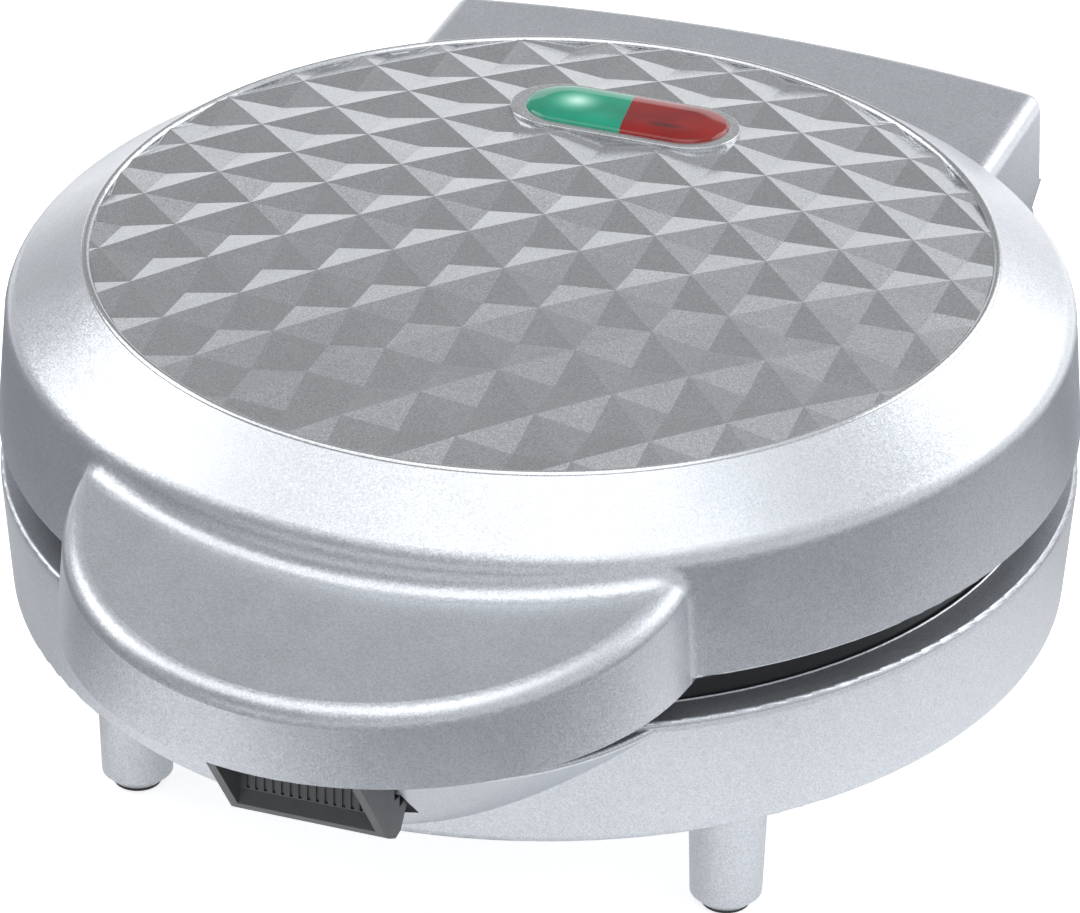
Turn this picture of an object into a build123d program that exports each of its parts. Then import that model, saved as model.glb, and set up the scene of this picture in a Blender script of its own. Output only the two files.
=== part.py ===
from build123d import *
from math import atan2, cos, pi, radians, sin, sqrt, tan
import os

# Bubble waffle maker: a round base on four legs, a hinged lid with a half-moon handle,
# and a sprung latch under the handle. Millimetres, +Z up, the handle points to -Y.
# Heights are above the table. The origin is on the table, under the middle of the footprint.

# Overall reach
front_reach = 144.0
rear_reach = 133.0
body_y = (front_reach - rear_reach) / 2  # from the origin back to the round body's axis
wall = 2.4

# Round base
base_bottom = 28.4
base_rim = 54.8
base_bottom_radius = 102.9
base_rim_radius = 104.8
rim_rounding = 0.9

# Round lid
lid_rim = 63.3
lid_rim_radius = 105.0
shoulder_radius = 103.1
shoulder_height = 88.4
shoulder_rounding = 5.0

# Ledges round the cooking plates
ledge_radius = 97.8
ledge_wall_radius = 99.9
ledge_lip = 0.2
seat_radius = 91.5

# Cooking plates, alike above and below the joint
joint_height = 59.4
joint_gap = 0.3
plate_radius = 97.4
plate_disc_radius = 88.0
plate_seat_depth = 7.9
plate_skin = 2.4
well_radius = 84.0
well_depth = 2.25
pocket_radius = 14.0
pocket_depth = 10.5
pocket_pitch = 33.0
pocket_edge_rounding = 1.2
bowl_slope = 35

# Heating elements, a U of tube pressed into a rib
element_radius = 47.5
element_leg = 66.0
element_tube_radius = 3.25
element_depth = 17.9
element_rib_width = 9.0
terminal_radius = 1.25
terminal_length = 13.0

# Reflectors
reflector_depth = 22.1
reflector_sheet = 0.8
reflector_radius = 90.0
reflector_wall_height = 9.0

# Plate screws
screw_circle = 79.0
screw_angles = (30, 150, 210, 330)
screw_radius = 2.0
screw_hole_radius = 2.2
screw_head_radius = 3.8
screw_head_height = 2.6
screw_head_hole_radius = 4.3
boss_radius = 5.5

# Domed top panel
panel_radius = 88.3
panel_edge = 98.8
panel_rise = 6.0
panel_thickness = 2.2
panel_bead = 1.6
grid_pitch = 15.84
grid_offset_y = 1.15
pit_depth = 1.25
seat_ring_radius = 74.0

# Indicator window
window_y = 48.0
frame_half_length = 23.4
frame_half_width = 10.6
lens_half_length = 20.8
lens_half_width = 8.5
frame_proud = 0.9
lens_proud = 1.3
lens_depth = 5.0

# Half-moon handle
handle_radius = 61.0
handle_centre_y = -82.9
handle_taper = 4.5
handle_top_y = -103.0
handle_top = 82.6
handle_slope = 0.115
handle_rounding = 4.0
handle_root_rounding = 4.5

# Chin of the base under the handle
chin_radius = 61.2
chin_centre_y = -64.5
chin_rim = 53.8
chin_taper = 43.5
chin_floor = 31.0

# Rear hinge housing of the lid
housing_half_width = 64.3
housing_corner_y = 126.2
housing_top = 83.1
housing_taper = 1.5
housing_rounding = 3.5
housing_root_rounding = 3.5

# Hinge
hinge_y = 113.0
hinge_z = 54.0
barrel_radius = 9.0
hinge_block_half_width = 58.9
hinge_block_rear = 118.3
hinge_end_wall = 8.9
hinge_pin_radius = 3.0
hinge_pin_inner = 51.0
hinge_pin_sunk = 0.4
hinge_clearance = 0.05
cheek_inner = 60.2
cheek_round = 8.5

# Legs
leg_circle = 85.8
leg_angle = 45.4
leg_bottom = 0.8
leg_bottom_radius = 6.85
leg_taper = 1.7
leg_chamfer = 2.1
pad_radius = 4.7
pad_height = 2.4

# Latch
latch_half_width = 15.2
latch_cheek = 1.7
latch_panel_y = -122.8
latch_pin_y = -124.0
latch_pin_z = 70.5
latch_pin_radius = 1.5
latch_pin_clearance = 0.05
latch_recess_half_width = 16.2
latch_recess_y = -117.3
groove_pitch = 1.7
groove_depth = 0.4
slot_half_width = 15.7
slot_low = 37.6
slot_high = 47.2
lug_inner = 15.9
lug_thickness = 2.5

# Spring behind the latch
spring_y = -132.0
spring_bottom = 69.3
spring_top = 76.5
spring_radius = 2.65
spring_wire = 0.7
spring_turns = 5

# Cover under the handle
cover_top = 66.0
cover_gap = 16.6
cover_screw_radius = 1.4
cover_posts = [(-36, -105), (36, -105)]

# Wiring
block_x = -24.0
block_y = 108.0
lead_radius = 1.1
fuse_height = 84.3

# Cord inlet in the hinge block's floor
inlet_y = 108.0
inlet_bore_radius = 3.6
inlet_barrel_radius = 5.0
inlet_flange_radius = 6.8
clamp_y = 100.5
clamp_reach = 9.0
clamp_height = 4.0


def level(height):
    """A horizontal plane at this height, centred on the round body."""
    return Plane(origin=(0, body_y, height))


def across(x):
    """An upright plane at this x, facing +X: its x runs back along +Y, its y runs up."""
    return Plane(origin=(x, body_y, 0), x_dir=(0, 1, 0), z_dir=(1, 0, 0))


def facing(y):
    """An upright plane at this distance behind the body's axis, facing -Y."""
    return Plane(origin=(0, body_y + y, 0), x_dir=(1, 0, 0), z_dir=(0, -1, 0))


body_axis = Axis((0, body_y, 0), (0, 0, 1))
half_section = facing(0)
hinge_point = (hinge_y, hinge_z)


def ring_edges(piece, radius, height):
    """The round edges of this radius that lie at this height."""
    circles = piece.edges().filter_by(GeomType.CIRCLE)
    return circles.filter_by(
        lambda edge: abs(edge.radius - radius) < 0.02 and abs(edge.arc_center.Z - height) < 0.02
    )


def polar(radius, angle):
    """A point in plan, this far from the body's axis, at this angle from +X."""
    return (radius * cos(radians(angle)), radius * sin(radians(angle)))


screw_points = [polar(screw_circle, angle) for angle in screw_angles]
leg_angles = (leg_angle, 180 - leg_angle, 180 + leg_angle, 360 - leg_angle)
leg_points = [polar(leg_circle, angle) for angle in leg_angles]

# BASE
# The chin: a blunt cone that runs down into the bowl
with BuildPart() as chin:
    with BuildSketch(level(chin_rim)):
        with Locations((0, chin_centre_y)):
            Circle(chin_radius)
    extrude(amount=-(chin_rim - base_bottom - 1), taper=chin_taper)
    fillet(ring_edges(chin, chin_radius, chin_rim), rim_rounding)

with BuildPart() as chin_hollow:
    skew = tan(radians(chin_taper))
    inner_radius = chin_radius - wall * skew - wall / cos(radians(chin_taper))
    with BuildSketch(level(chin_rim - wall)):
        with Locations((0, chin_centre_y)):
            Circle(inner_radius)
    extrude(amount=-(chin_rim - wall - chin_floor), taper=chin_taper)
    with BuildSketch(level(chin_floor - 1)):
        Circle(base_bottom_radius - wall - 0.5)
        with Locations((0, latch_recess_y + wall - 20)):
            Rectangle(2 * (latch_recess_half_width + wall), 40)
    extrude(amount=chin_rim, mode=Mode.SUBTRACT)

# The hinge block: a box behind the bowl with a barrel along its top
with BuildPart() as hinge_block:
    with BuildSketch(across(0)):
        with Locations((hinge_block_rear / 2 + 40, (base_bottom + base_rim) / 2)):
            Rectangle(hinge_block_rear - 80, base_rim - base_bottom)
        with Locations(hinge_point):
            Circle(barrel_radius)
    extrude(amount=hinge_block_half_width, both=True)
    rear_bottom = hinge_block.edges().filter_by(Axis.X).group_by(Axis.Z)[0].sort_by(Axis.Y)[-1]
    fillet(rear_bottom, 3.0)
    ends = hinge_block.faces().sort_by(Axis.X)
    fillet(ends[0].edges() + ends[-1].edges(), 1.0)

with BuildPart() as hinge_block_hollow:
    with BuildSketch(across(0)):
        low, high = base_bottom + wall, base_rim - wall
        with Locations((hinge_block_rear / 2 + 40 - wall / 2, (low + high) / 2)):
            Rectangle(hinge_block_rear - 80 - wall, high - low)
        with Locations(hinge_point):
            Circle(barrel_radius - wall)
    extrude(amount=hinge_block_half_width - hinge_end_wall, both=True)
    with BuildSketch(level(0)):
        Circle(base_bottom_radius - wall - 0.5)
    extrude(amount=base_rim + 20, mode=Mode.SUBTRACT)

with BuildPart() as base_shell:
    # Bowl with a drafted wall, up to the ledge with a fine lip along its inner edge
    with BuildSketch(half_section):
        Polygon(
            (0, base_bottom),
            (base_bottom_radius, base_bottom),
            (base_rim_radius, base_rim - 2),
            (base_rim_radius, base_rim),
            (ledge_radius + 2 * ledge_lip, base_rim),
            (ledge_radius + ledge_lip, base_rim + ledge_lip),
            (0, base_rim + ledge_lip),
            align=None,
        )
    revolve(axis=body_axis)
    fillet(ring_edges(base_shell, base_bottom_radius, base_bottom), 2.0)
    fillet(ring_edges(base_shell, base_rim_radius, base_rim), rim_rounding)
    add(chin.part)
    add(hinge_block.part)

    # Tapered legs
    with BuildSketch(level(leg_bottom)):
        with Locations(*leg_points):
            Circle(leg_bottom_radius)
    extrude(amount=base_bottom + 1 - leg_bottom, taper=-leg_taper)
    chamfer(base_shell.faces().group_by(Axis.Z)[0].edges(), leg_chamfer)

    # Hollow for the plate and the works, with a seat for the plate's flange
    with BuildSketch(half_section):
        Polygon(
            (0, base_bottom + wall),
            (base_bottom_radius - wall, base_bottom + wall),
            (base_rim_radius - wall, base_rim - wall),
            (ledge_wall_radius, base_rim - wall),
            (ledge_wall_radius, joint_height - plate_seat_depth - wall),
            (seat_radius, joint_height - plate_seat_depth - wall),
            (seat_radius, joint_height - plate_seat_depth),
            (ledge_radius, joint_height - plate_seat_depth),
            (ledge_radius, base_rim + 1),
            (0, base_rim + 1),
            align=None,
        )
    revolve(axis=body_axis, mode=Mode.SUBTRACT)
    add(chin_hollow.part, mode=Mode.SUBTRACT)
    add(hinge_block_hollow.part, mode=Mode.SUBTRACT)

    # Recess for the latch in the chin, with the slot that its hook catches in
    with BuildSketch(level(base_bottom)):
        with Locations((0, latch_recess_y - 20)):
            Rectangle(2 * latch_recess_half_width, 40)
    extrude(amount=40, mode=Mode.SUBTRACT)
    with BuildSketch(facing(-126)):
        with Locations((0, (slot_low + slot_high) / 2)):
            Rectangle(2 * slot_half_width, slot_high - slot_low)
    extrude(amount=-20, mode=Mode.SUBTRACT)

    # Posts for the plate screws, holes for the screws and for the foot pads
    with BuildSketch(level(base_bottom + wall)):
        with Locations(*screw_points):
            Circle(boss_radius)
    extrude(amount=joint_height - reflector_depth - reflector_sheet - base_bottom - wall)
    with BuildSketch(level(base_bottom)):
        with Locations(*screw_points):
            Circle(screw_hole_radius)
    extrude(amount=20, mode=Mode.SUBTRACT)
    with BuildSketch(level(base_bottom)):
        with Locations(*screw_points):
            Circle(screw_head_hole_radius)
    extrude(amount=3.4, mode=Mode.SUBTRACT)
    with BuildSketch(level(leg_bottom)):
        with Locations(*leg_points):
            Circle(pad_radius)
    extrude(amount=pad_height - leg_bottom, mode=Mode.SUBTRACT)
    with BuildSketch(level(5)):
        with Locations(*leg_points):
            Circle(leg_bottom_radius - wall)
    extrude(amount=base_bottom + wall - 5, taper=-leg_taper, mode=Mode.SUBTRACT)

    # Hole for the cord inlet, posts for the clamp behind it
    with BuildSketch(level(base_bottom)):
        with Locations((0, inlet_y)):
            Circle(inlet_barrel_radius)
    extrude(amount=wall, mode=Mode.SUBTRACT)
    with BuildSketch(level(base_bottom + wall)):
        with Locations((-clamp_reach, clamp_y), (clamp_reach, clamp_y)):
            Circle(3.0)
            Circle(1.2, mode=Mode.SUBTRACT)
    extrude(amount=clamp_height)

    # Bores for the hinge pins
    for side in (-1, 1):
        with BuildSketch(across(side * hinge_block_half_width)):
            with Locations(hinge_point):
                Circle(hinge_pin_radius + hinge_clearance)
        extrude(amount=-side * (hinge_end_wall + 1), mode=Mode.SUBTRACT)

# Foot pads
pads = {}
for number, place in enumerate(leg_points, start=1):
    with BuildPart() as pad:
        with BuildSketch(level(0)):
            with Locations(place):
                Circle(pad_radius)
        extrude(amount=pad_height)
    pads[f"foot_pad_{number}"] = pad

# COOKING PLATES
# Everything is drawn for the base, and mirrored about the joint for the lid
plate_top = joint_height - joint_gap / 2
plate_seat = joint_height - plate_seat_depth
plate_underside = plate_top - well_depth - plate_skin
well_floor = plate_top - well_depth
pocket_centre = well_floor - pocket_depth + pocket_radius
element_height = joint_height - element_depth
reflector_top = joint_height - reflector_depth
pocket_points = [
    (pocket_pitch * (i + j / 2), pocket_pitch * j * sqrt(3) / 2)
    for i in range(-2, 3)
    for j in range(-2, 3)
    if abs(i + j) <= 2
]


def element_route():
    """The U of the heating element: a half ring in front and two legs that run back."""
    Line((-element_radius, element_leg), (-element_radius, 0))
    ThreePointArc((-element_radius, 0), (0, -element_radius), (element_radius, 0))
    Line((element_radius, 0), (element_radius, element_leg))


with BuildPart() as lower_element:
    with BuildLine(level(element_height)) as route:
        element_route()
    with BuildSketch(Plane(origin=route.line @ 0, x_dir=(1, 0, 0), z_dir=(0, -1, 0))):
        Circle(element_tube_radius)
    sweep(path=route.wire())
    # Terminal pins in the cold ends
    with BuildSketch(facing(element_leg)):
        with Locations((-element_radius, element_height), (element_radius, element_height)):
            Circle(terminal_radius)
    extrude(amount=-terminal_length)

# The space in a pocket, with an eased mouth
pocket_rise = pocket_radius - pocket_depth
ease_radius = sqrt(
    (pocket_radius + pocket_edge_rounding) ** 2 - (pocket_rise + pocket_edge_rounding) ** 2
)
ease_angle = atan2(pocket_rise + pocket_edge_rounding, ease_radius)
half_angle = pi / 4 + ease_angle / 2
ease_start = (ease_radius, well_floor)
ease_middle = (
    ease_radius - pocket_edge_rounding * cos(half_angle),
    well_floor - pocket_edge_rounding * (1 - sin(half_angle)),
)
ease_end = (pocket_radius * cos(ease_angle), pocket_centre - pocket_radius * sin(ease_angle))
halfway = (pocket_radius * cos(half_angle), pocket_centre - pocket_radius * sin(half_angle))
lowest = (0, well_floor - pocket_depth)

with BuildPart() as pocket:
    with BuildSketch(Plane.XZ):
        with BuildLine():
            ThreePointArc(lowest, halfway, ease_end)
            Polyline(ease_end, ease_middle, ease_start, (0, well_floor), lowest)
        make_face()
    revolve(axis=Axis.Z)

# The blunt cones of metal under the pockets
bowl_top = plate_underside + 1
bowl_bottom = pocket_centre - pocket_radius - plate_skin


def bowl_radius(height):
    """The cone's radius at a height, so that it keeps the plate's skin round the pocket."""
    slope = radians(bowl_slope)
    inwards = (pocket_centre - height) * sin(slope)
    return (pocket_radius + plate_skin - inwards) / cos(slope)


with BuildPart() as bowls:
    with Locations(level(bowl_bottom)):
        with Locations(*pocket_points):
            Cone(
                bowl_radius(bowl_bottom),
                bowl_radius(bowl_top),
                bowl_top - bowl_bottom,
                align=(Align.CENTER, Align.CENTER, Align.MIN),
            )

with BuildPart() as lower_plate:
    # Disc with a flange that stands on the seat
    with BuildSketch(half_section):
        Polygon(
            (0, plate_underside),
            (plate_disc_radius, plate_underside),
            (plate_disc_radius, plate_seat),
            (plate_radius, plate_seat),
            (plate_radius, plate_top),
            (0, plate_top),
            align=None,
        )
    revolve(axis=body_axis)
    fillet(ring_edges(lower_plate, plate_radius, plate_top), 1.0)
    add(bowls.part)

    # Rib along the element, and bosses for the screws
    with BuildSketch(level(element_height)):
        Circle(element_radius + element_rib_width / 2)
        Circle(element_radius - element_rib_width / 2, mode=Mode.SUBTRACT)
        with Locations((0, element_radius)):
            Rectangle(3 * element_radius, 2 * element_radius, mode=Mode.SUBTRACT)
        with Locations((-element_radius, element_leg / 2), (element_radius, element_leg / 2)):
            Rectangle(element_rib_width, element_leg)
    extrude(amount=plate_underside + 1 - element_height)
    with BuildSketch(level(reflector_top)):
        with Locations(*screw_points):
            Circle(boss_radius - 1)
    extrude(amount=plate_underside + 1 - reflector_top)
    with BuildSketch(level(reflector_top)):
        with Locations(*screw_points):
            Circle(screw_radius)
    extrude(amount=9, mode=Mode.SUBTRACT)

    # The well, with a half-round pocket for each bubble
    with BuildSketch(level(well_floor)):
        Circle(well_radius)
    extrude(amount=well_depth + 1, taper=-12, mode=Mode.SUBTRACT)
    with Locations(level(0)):
        with Locations(*pocket_points):
            add(pocket.part, mode=Mode.SUBTRACT)

    # Groove that the element is pressed into
    add(lower_element.part, mode=Mode.SUBTRACT)

with BuildPart() as lower_reflector:
    with BuildSketch(half_section):
        Polygon(
            (0, reflector_top - reflector_sheet),
            (reflector_radius, reflector_top - reflector_sheet),
            (reflector_radius, reflector_top + reflector_wall_height),
            (reflector_radius - reflector_sheet, reflector_top + reflector_wall_height),
            (reflector_radius - reflector_sheet, reflector_top),
            (0, reflector_top),
            align=None,
        )
    revolve(axis=body_axis)
    with BuildSketch(level(reflector_top)):
        with Locations(*screw_points):
            Circle(screw_hole_radius)
    extrude(amount=-reflector_sheet, mode=Mode.SUBTRACT)
    # Windows in the wall for the terminal pins
    with BuildSketch(facing(element_leg)):
        with Locations((-element_radius, element_height), (element_radius, element_height)):
            Circle(3.2)
    extrude(amount=-20, mode=Mode.SUBTRACT)

with BuildPart() as upper_element:
    mirror(lower_element.part, about=level(joint_height))

with BuildPart() as upper_plate:
    mirror(lower_plate.part, about=level(joint_height))
    # Pad for the thermostat on the middle pocket
    pad_top = 2 * joint_height - (pocket_centre - pocket_radius - plate_skin) + 2.3
    with BuildSketch(level(pad_top)):
        Circle(9)
    extrude(amount=-4.6)

with BuildPart() as upper_reflector:
    mirror(lower_reflector.part, about=level(joint_height))
    with BuildSketch(level(2 * joint_height - reflector_top)):
        Circle(12)
    extrude(amount=reflector_sheet, mode=Mode.SUBTRACT)

# LID
handle_top_plane = Plane(
    origin=(0, body_y + handle_top_y, handle_top), x_dir=(1, 0, 0), z_dir=(0, -handle_slope, 1)
)
seat_ring_top = panel_edge - panel_thickness
lid_floor = 2 * joint_height - reflector_top + reflector_sheet

with BuildPart() as handle:
    with BuildSketch(level(lid_rim)):
        with Locations((0, handle_centre_y)):
            Circle(handle_radius)
    extrude(amount=40, taper=handle_taper)
    split(bisect_by=handle_top_plane, keep=Keep.BOTTOM)
    fillet(handle.faces().sort_by(Axis.Z)[-1].edges(), handle_rounding)

with BuildPart() as handle_hollow:
    with BuildSketch(level(lid_rim)):
        with Locations((0, handle_centre_y)):
            Circle(handle_radius - wall)
    extrude(amount=40, taper=handle_taper)
    split(bisect_by=handle_top_plane.offset(-wall), keep=Keep.BOTTOM)
    fillet(handle_hollow.faces().sort_by(Axis.Z)[-1].edges(), handle_rounding - wall)
    with BuildSketch(level(lid_rim)):
        Circle(lid_rim_radius)
    extrude(amount=40, mode=Mode.SUBTRACT)


def housing_outline(inset):
    """The hinge housing's edges in plan, drawn in by an even wall."""
    side = housing_half_width - inset
    corner = housing_corner_y - inset
    ThreePointArc((side, corner), (0, rear_reach - inset), (-side, corner))
    Polyline((-side, corner), (-side, 60), (side, 60), (side, corner))


with BuildPart() as housing:
    with BuildSketch(level(lid_rim)):
        with BuildLine():
            housing_outline(0)
        make_face()
    extrude(amount=housing_top - lid_rim, taper=housing_taper)
    top = housing.faces().sort_by(Axis.Z)[-1].edges()
    sides = housing.edges().filter_by(lambda edge: 65 < edge.center().Z < 80)
    corners = sides.sort_by(Axis.Y)[-2:]
    fillet(top.sort_by(Axis.Y)[1:] + corners, housing_rounding)

with BuildPart() as housing_hollow:
    with BuildSketch(level(lid_rim)):
        with BuildLine():
            housing_outline(wall)
        make_face()
    extrude(amount=housing_top - wall - lid_rim, taper=housing_taper)
    with BuildSketch(level(lid_rim)):
        Circle(lid_rim_radius)
    extrude(amount=40, mode=Mode.SUBTRACT)

# Where the lid's round rim is eased, outside the handle and the housing
with BuildPart() as rim_easing:
    with BuildSketch(half_section):
        with Locations((lid_rim_radius, lid_rim)):
            Rectangle(2, 2)
        with Locations((lid_rim_radius - 1, lid_rim + 1)):
            Circle(1, mode=Mode.SUBTRACT)
        with Locations((lid_rim_radius - 1.5, lid_rim), (lid_rim_radius, lid_rim + 1.5)):
            Rectangle(1, 1, mode=Mode.SUBTRACT)
    revolve(axis=body_axis)
    add(handle.part, mode=Mode.SUBTRACT)
    add(housing.part, mode=Mode.SUBTRACT)


def is_root(edge):
    """Whether the edge runs up the lid's round wall beside the handle or the housing."""
    places = [edge @ 0, edge @ 0.5, edge @ 1]
    radii = [Vector(place.X, place.Y - body_y, 0).length for place in places]
    on_wall = 102 < min(radii) and max(radii) < 105.2
    upright = lid_rim + 0.5 < places[1].Z < shoulder_height - 2
    return on_wall and upright and abs(places[1].Y - body_y) > 20


with BuildPart() as lid_shell:
    # Round cover: a drafted wall, a rounded shoulder and a sloped band up to the panel
    with BuildSketch(half_section):
        Polygon(
            (0, lid_rim),
            (lid_rim_radius, lid_rim),
            (shoulder_radius, shoulder_height),
            (panel_radius, panel_edge),
            (panel_radius, seat_ring_top),
            (0, seat_ring_top),
            align=None,
        )
    revolve(axis=body_axis)
    fillet(ring_edges(lid_shell, shoulder_radius, shoulder_height), shoulder_rounding)
    add(handle.part)
    add(housing.part)

    # Soft inner corners where the handle and the housing grow out of the round wall
    roots = lid_shell.edges().filter_by(is_root)
    fillet(roots.filter_by(lambda edge: (edge @ 0.5).Y < 0), handle_root_rounding)
    fillet(roots.filter_by(lambda edge: (edge @ 0.5).Y > 0), housing_root_rounding)
    add(rim_easing.part, mode=Mode.SUBTRACT)

    # Hollow, with a seat for the upper plate's flange and an opening under the top panel
    upper_seat = 2 * joint_height - plate_seat
    with BuildSketch(half_section):
        Polygon(
            (0, lid_rim - 1),
            (ledge_radius, lid_rim - 1),
            (ledge_radius, upper_seat),
            (seat_radius, upper_seat),
            (seat_radius, upper_seat + wall),
            (ledge_wall_radius, upper_seat + wall),
            (ledge_wall_radius, lid_rim + wall),
            (lid_rim_radius - wall - 0.2, lid_rim + wall),
            (shoulder_radius - wall, shoulder_height - 1.5),
            (panel_radius + 2.3, seat_ring_top - wall),
            (seat_ring_radius, seat_ring_top - wall),
            (seat_ring_radius, seat_ring_top + 1),
            (0, seat_ring_top + 1),
            align=None,
        )
    revolve(axis=body_axis, mode=Mode.SUBTRACT)
    add(handle_hollow.part, mode=Mode.SUBTRACT)
    add(housing_hollow.part, mode=Mode.SUBTRACT)

    # Posts for the plate screws, with the heads let in from above
    with BuildSketch(level(lid_floor)):
        with Locations(*screw_points):
            Circle(boss_radius)
    extrude(amount=seat_ring_top - wall + 0.5 - lid_floor)
    with BuildSketch(level(seat_ring_top)):
        with Locations(*screw_points):
            Circle(screw_hole_radius)
    extrude(amount=-20, mode=Mode.SUBTRACT)
    with BuildSketch(level(seat_ring_top)):
        with Locations(*screw_points):
            Circle(screw_head_hole_radius)
    extrude(amount=-screw_head_height - 0.8, mode=Mode.SUBTRACT)

    # Inside the handle: cover posts, spring pad, and the lugs that carry the latch pin
    with BuildSketch(level(cover_top)):
        with Locations(*cover_posts):
            Circle(4)
            Circle(cover_screw_radius, mode=Mode.SUBTRACT)
    extrude(amount=15)
    with BuildSketch(level(spring_top)):
        with Locations((0, spring_y)):
            Circle(4.5)
    extrude(amount=1.5)
    for side in (-1, 1):
        with BuildSketch(across(side * lug_inner)):
            with Locations((latch_pin_y, 73)):
                Rectangle(8, 12)
            with Locations((latch_pin_y, latch_pin_z)):
                Circle(latch_pin_radius, mode=Mode.SUBTRACT)
        extrude(amount=side * lug_thickness)

    # Hinge cheeks beside the hinge block, with the bores for the pins
    for side in (-1, 1):
        with BuildSketch(across(side * housing_half_width)):
            Polygon(
                (hinge_y - cheek_round, hinge_z),
                (hinge_y - 13, lid_rim),
                (housing_corner_y - 0.8, lid_rim),
                (hinge_y + 6.2, hinge_z + 5.5),
                hinge_point,
                align=None,
            )
            with Locations(hinge_point):
                Circle(cheek_round)
                Circle(hinge_pin_radius, mode=Mode.SUBTRACT)
        extrude(amount=-side * (housing_half_width - cheek_inner))

# Domed top panel: a square grid of shallow pits, turned by an eighth of a turn
sphere_radius = (panel_radius**2 + panel_rise**2) / (2 * panel_rise)


def dome(radius):
    """The height of the panel's dome at this distance from the axis."""
    return panel_edge + panel_rise - sphere_radius + sqrt(sphere_radius**2 - radius**2)


def dome_plane(x, y):
    """The plane that touches the dome at this point in plan."""
    point = Vector(x, y, dome(sqrt(x**2 + y**2)))
    outward = point - Vector(0, 0, panel_edge + panel_rise - sphere_radius)
    sideways = Vector(1, 0, 0).cross(outward).cross(outward) * -1
    return Plane(origin=point + Vector(0, body_y, 0), x_dir=sideways, z_dir=outward)


def on_dome(x, y):
    """The point of the dome over this place in plan."""
    return Vector(x, body_y + y, dome(sqrt(x**2 + y**2)))


cell_reach = grid_pitch / sqrt(2)
cutter_top = panel_edge + panel_rise + 2


def pit_cutter(x, y):
    """The space over one pit: four slopes from its lowest point up to the cell's corners."""
    corners = [
        on_dome(x + cell_reach, y),
        on_dome(x, y + cell_reach),
        on_dome(x - cell_reach, y),
        on_dome(x, y - cell_reach),
    ]
    middle = sum(corners, Vector(0, 0, 0)) / 4
    outward = (corners[0] - corners[2]).cross(corners[1] - corners[3]).normalized()
    lowest = middle - outward * pit_depth
    raised = [Vector(corner.X, corner.Y, cutter_top) for corner in corners]
    faces = [Face(Wire.make_polygon(raised))]
    for here, after in ((0, 1), (1, 2), (2, 3), (3, 0)):
        slope = [corners[here], corners[after], lowest]
        side = [corners[here], corners[after], raised[after], raised[here]]
        faces.append(Face(Wire.make_polygon(slope)))
        faces.append(Face(Wire.make_polygon(side)))
    return Solid(Shell(faces))


pit_cutters = []
for i in range(-8, 9):
    for j in range(-8, 9):
        x = (i + j) * cell_reach
        y = (i - j + 1) * cell_reach + grid_offset_y
        if sqrt(x**2 + y**2) < panel_radius + 0.6 * grid_pitch:
            pit_cutters.append(pit_cutter(x, y))

window_plane = dome_plane(0, window_y)
inner = panel_radius - 4

with BuildPart() as top_panel:
    with BuildSketch(half_section):
        with BuildLine():
            Line((0, dome(0)), (0, dome(0) - panel_thickness))
            ThreePointArc(
                (0, dome(0) - panel_thickness),
                (inner / 2, dome(inner / 2) - panel_thickness),
                (inner, dome(inner) - panel_thickness),
            )
            Polyline(
                (inner, dome(inner) - panel_thickness),
                (inner, seat_ring_top),
                (panel_radius, seat_ring_top),
                (panel_radius, panel_edge),
            )
            ThreePointArc(
                (panel_radius, panel_edge), (panel_radius / 2, dome(panel_radius / 2)), (0, dome(0))
            )
        make_face()
    revolve(axis=body_axis)
    add(pit_cutters, mode=Mode.SUBTRACT)
    # A plain bead round the edge
    with BuildSketch(half_section):
        with BuildLine():
            Polyline(
                (panel_radius, panel_edge),
                (panel_radius, seat_ring_top),
                (panel_radius - panel_bead, seat_ring_top),
                (panel_radius - panel_bead, panel_edge),
            )
            ThreePointArc(
                (panel_radius - panel_bead, panel_edge),
                (panel_radius - panel_bead / 2, panel_edge + 0.5),
                (panel_radius, panel_edge),
            )
        make_face()
    revolve(axis=body_axis)
    with BuildSketch(window_plane.offset(-10)):
        SlotOverall(2 * frame_half_length, 2 * frame_half_width)
    extrude(amount=20, mode=Mode.SUBTRACT)

# Indicator window: a silver frame round a green and a red lens
frame_depth = panel_thickness + 0.8

with BuildPart() as indicator_frame:
    with BuildSketch(window_plane.offset(-frame_depth)):
        SlotOverall(2 * frame_half_length, 2 * frame_half_width)
        SlotOverall(2 * lens_half_length, 2 * lens_half_width, mode=Mode.SUBTRACT)
    extrude(amount=frame_depth + frame_proud)
    fillet(indicator_frame.faces().sort_by(Axis.Z)[-1].outer_wire().edges(), 0.7)

with BuildPart() as both_lenses:
    with BuildSketch(window_plane.offset(-frame_depth)):
        SlotOverall(2 * lens_half_length, 2 * lens_half_width)
    extrude(amount=frame_depth + lens_proud)
    fillet(both_lenses.faces().sort_by(Axis.Z)[-1].edges(), 1.1)

lens_split = Plane(
    origin=window_plane.from_local_coords((-0.3, 0, 0)),
    x_dir=window_plane.z_dir,
    z_dir=window_plane.x_dir + window_plane.y_dir * 0.125,
)

with BuildPart() as green_lens:
    add(both_lenses.part)
    split(bisect_by=lens_split, keep=Keep.BOTTOM)

with BuildPart() as red_lens:
    add(both_lenses.part)
    split(bisect_by=lens_split, keep=Keep.TOP)

# Tray with the two lamps under the window
tray_depth = 7.5

with BuildPart() as lamp_holder:
    with BuildSketch(window_plane.offset(-frame_depth - tray_depth)):
        SlotOverall(2 * frame_half_length, 2 * frame_half_width)
    extrude(amount=tray_depth)
    with BuildSketch(window_plane.offset(-frame_depth)):
        SlotOverall(2 * frame_half_length - 3.2, 2 * frame_half_width - 3.2)
    extrude(amount=-tray_depth + 1.6, mode=Mode.SUBTRACT)

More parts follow.
